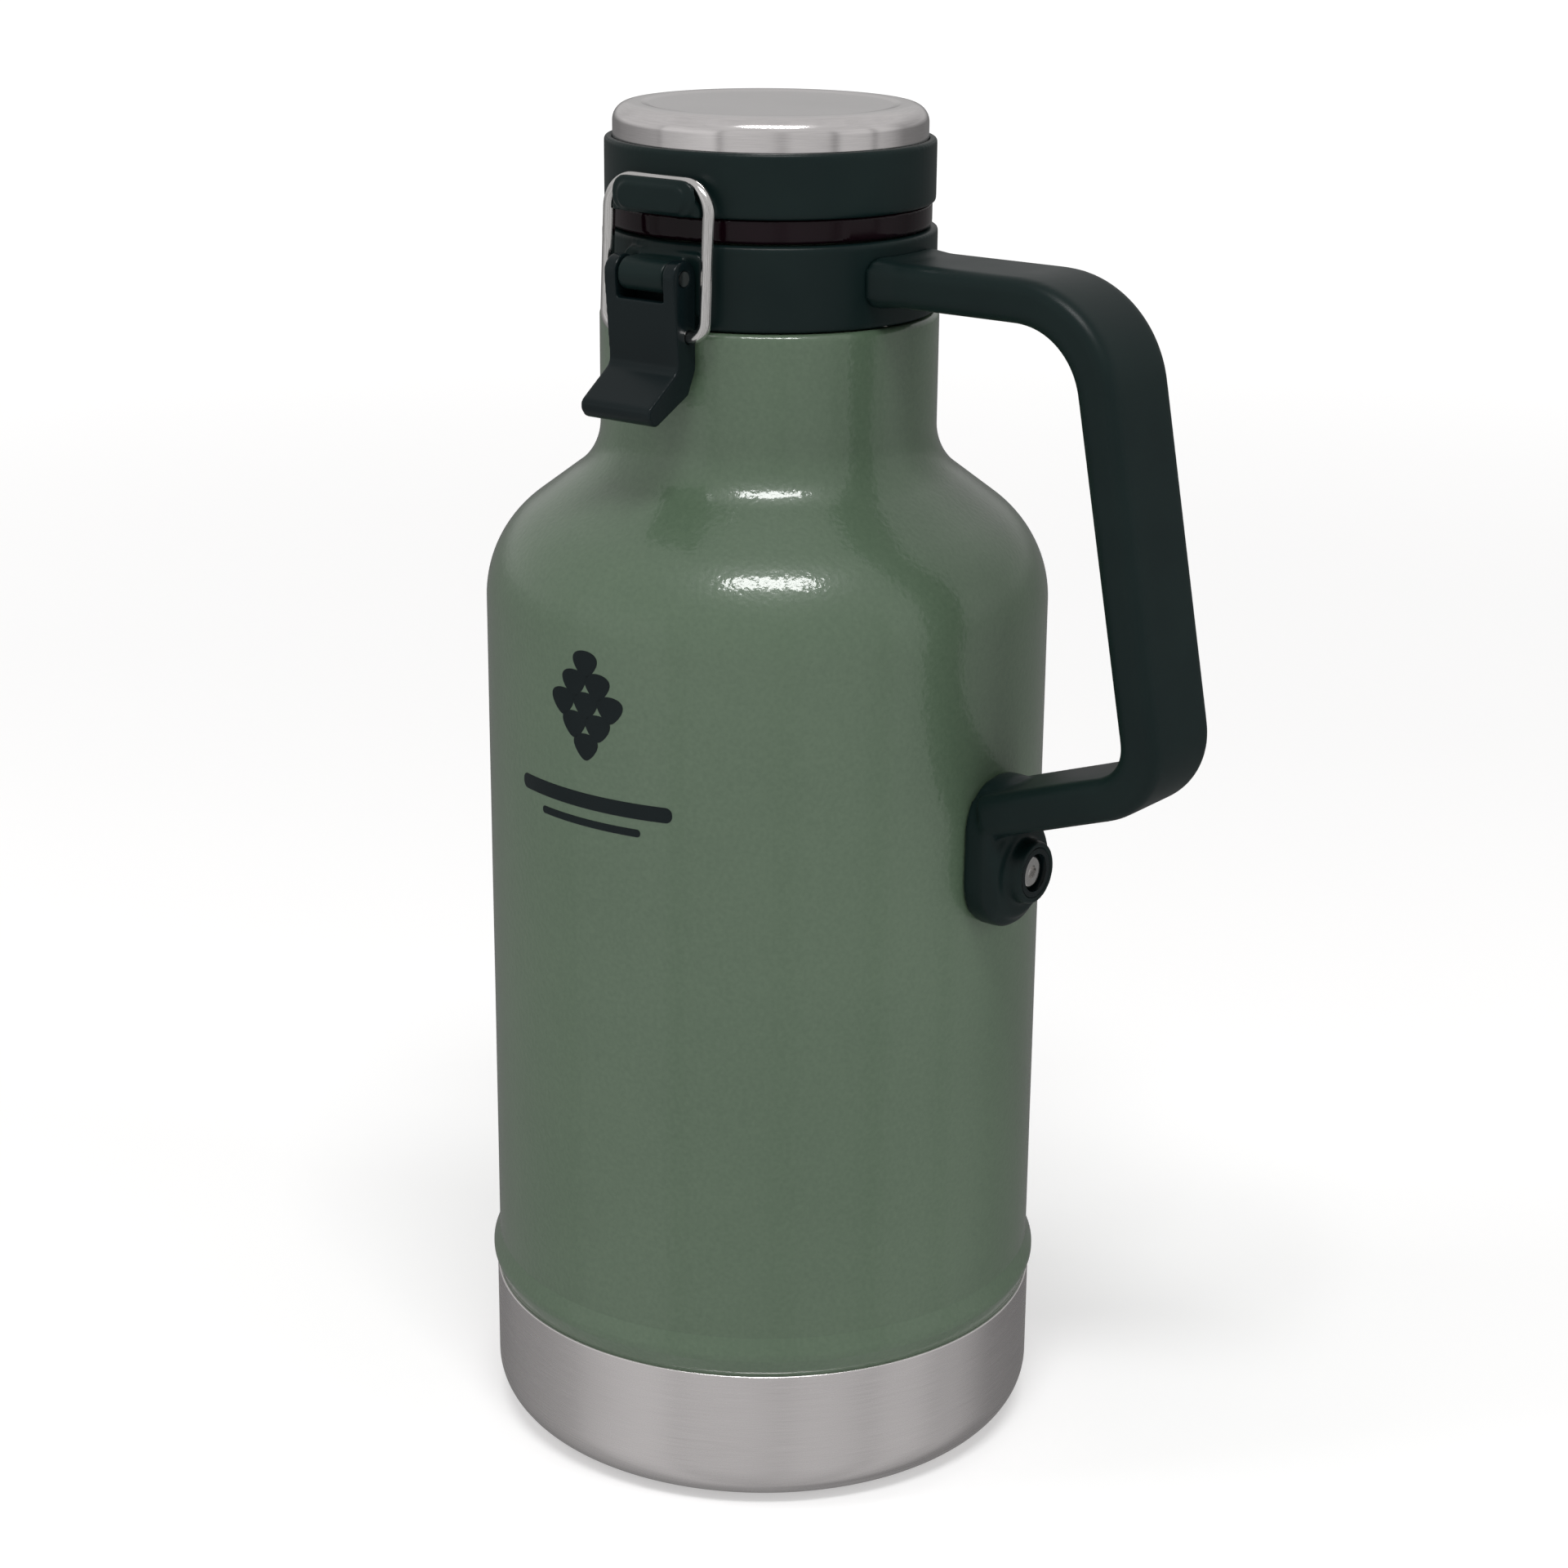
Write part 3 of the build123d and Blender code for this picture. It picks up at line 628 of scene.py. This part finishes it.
def paleFloor(half):
    points = np.array([(-half, -half, 0), (half, -half, 0), (half, half, 0), (-half, half, 0)])
    mesh = bpy.data.meshes.new("floor")
    mesh.from_pydata(points.tolist(), [], [(0, 1, 2, 3)])
    floor = bpy.data.objects.new("floor", mesh)
    bpy.context.scene.collection.objects.link(floor)
    finish = newFinish("floorPaint", Roughness=0.9, Specular_IOR_Level=0.1)
    finish.node_tree.nodes["Principled BSDF"].inputs["Emission Color"].default_value = (1, 1, 1, 1)
    away = addNode(finish, "VectorMath", {0: objectPlace(finish)}, operation="LENGTH").outputs["Value"]
    glowInputs = {"Value": away, "From Min": 0.2, "From Max": 2.2, "To Min": 0.27, "To Max": 0.66}
    glow = addNode(finish, "MapRange", glowInputs, interpolation_type="SMOOTHSTEP").outputs["Result"]
    plugIn(finish, "Emission Strength", glow)  # evens out the boxes' falling light
    plugIn(finish, "Base Color", ramp(finish, noise(finish, objectPlace(finish), 4), (0.0, 0.84), (1.0, 0.86)))
    mesh.materials.append(finish)
    floor.visible_glossy = False  # the gloss shows the room, not the floor's glare


room = {
    "front": 0.5,
    "back": 0.17,
    "sky": 0.5,
    "turn": radians(-6),
    # angles from the camera's side, to the right, and the light there as a share of full
    "bands": (
        (-180, 0.95), (-148, 0.9), (-144, 1.0), (-96, 1.0), (-93, 0.75), (-90, 1.2), (-47, 1.25), (-43, 0.55),
        (-39, 1.05), (-6, 0.95), (2, 0.72), (10, 1.0), (36, 0.95), (41, 0.5), (46, 1.1), (70, 1.1), (74, 0.6),
        (79, 1.1), (92, 0.95), (106, 0.6), (135, 0.7), (150, 0.85), (180, 0.95),
    ),
}


def softRoom(r, azimuth):
    # Pale walls with upright bands of light and shade, such as softboxes with gaps between
    # them, an even sky above, and below the horizon a fall from the near side to the far one.
    world = bpy.data.worlds.new("room")
    world.use_nodes = True
    tree = world.node_tree

    def link(kind, inputs=(), **settings):
        made = tree.nodes.new("ShaderNode" + kind)
        for setting, value in settings.items():
            setattr(made, setting, value)
        for key, value in dict(inputs).items():
            if isinstance(value, bpy.types.NodeSocket):
                tree.links.new(value, made.inputs[key])
            else:
                made.inputs[key].default_value = value
        return made

    direction = link("TexCoord").outputs["Generated"]
    turned = link("VectorRotate", {"Vector": direction, "Angle": r["turn"] - azimuth}, rotation_type="Z_AXIS")
    parts = link("SeparateXYZ", {"Vector": turned.outputs["Vector"]})
    side, depth, rise = parts.outputs["X"], parts.outputs["Y"], parts.outputs["Z"]
    towards = link("Math", {0: depth, 1: -1.0}, operation="MULTIPLY").outputs[0]
    angle = link("Math", {0: side, 1: towards}, operation="ARCTAN2").outputs[0]
    share = link("MapRange", {"Value": angle, "From Min": -pi, "From Max": pi}).outputs["Result"]
    bands = link("ValToRGB", {"Fac": share})
    elements = bands.color_ramp.elements
    while len(elements) < len(r["bands"]):
        elements.new(0.5)
    for element, (degrees, light) in zip(elements, r["bands"]):
        element.position = (degrees + 180) / 360
        element.color = (light, light, light, 1)
    below = link("MapRange", {"Value": towards, "From Min": -1, "To Min": r["back"], "To Max": r["front"]})
    above = link("MapRange", {"Value": rise, "From Min": -0.02, "From Max": 0.12}).outputs["Result"]
    level = link("Mix", {"Factor": above, "A": below.outputs["Result"], "B": r["sky"]}, data_type="FLOAT")
    high = link("MapRange", {"Value": rise, "From Min": 0.25, "From Max": 0.55}).outputs["Result"]
    banded = link("Mix", {"Factor": high, "A": bands.outputs["Color"], "B": 1.0}, data_type="FLOAT")
    strength = link("Math", {0: level.outputs["Result"], 1: banded.outputs["Result"]}, operation="MULTIPLY")
    tree.links.new(strength.outputs[0], tree.nodes["Background"].inputs["Strength"])
    tree.nodes["Background"].inputs["Color"].default_value = (1.0, 0.99, 0.985, 1)
    bpy.context.scene.world = world


placeCamera(studio)
paleFloor(studio["floorHalf"])
softRoom(room, studio["azimuth"])
softBox("topBox", 40, 62, 1.3, (0.62, 0.2), 7.5)
for light in (
    softBox("leftBox", -45, 35, 1.5, (0.5, 1.0), 4),
    softBox("rightBox", 100, 25, 1.5, (0.4, 1.0), 3),
):
    light.visible_glossy = False  # these two only fill: the gloss shows the room's bands
bpy.context.scene.view_settings.view_transform = "Standard"
print("studio set")
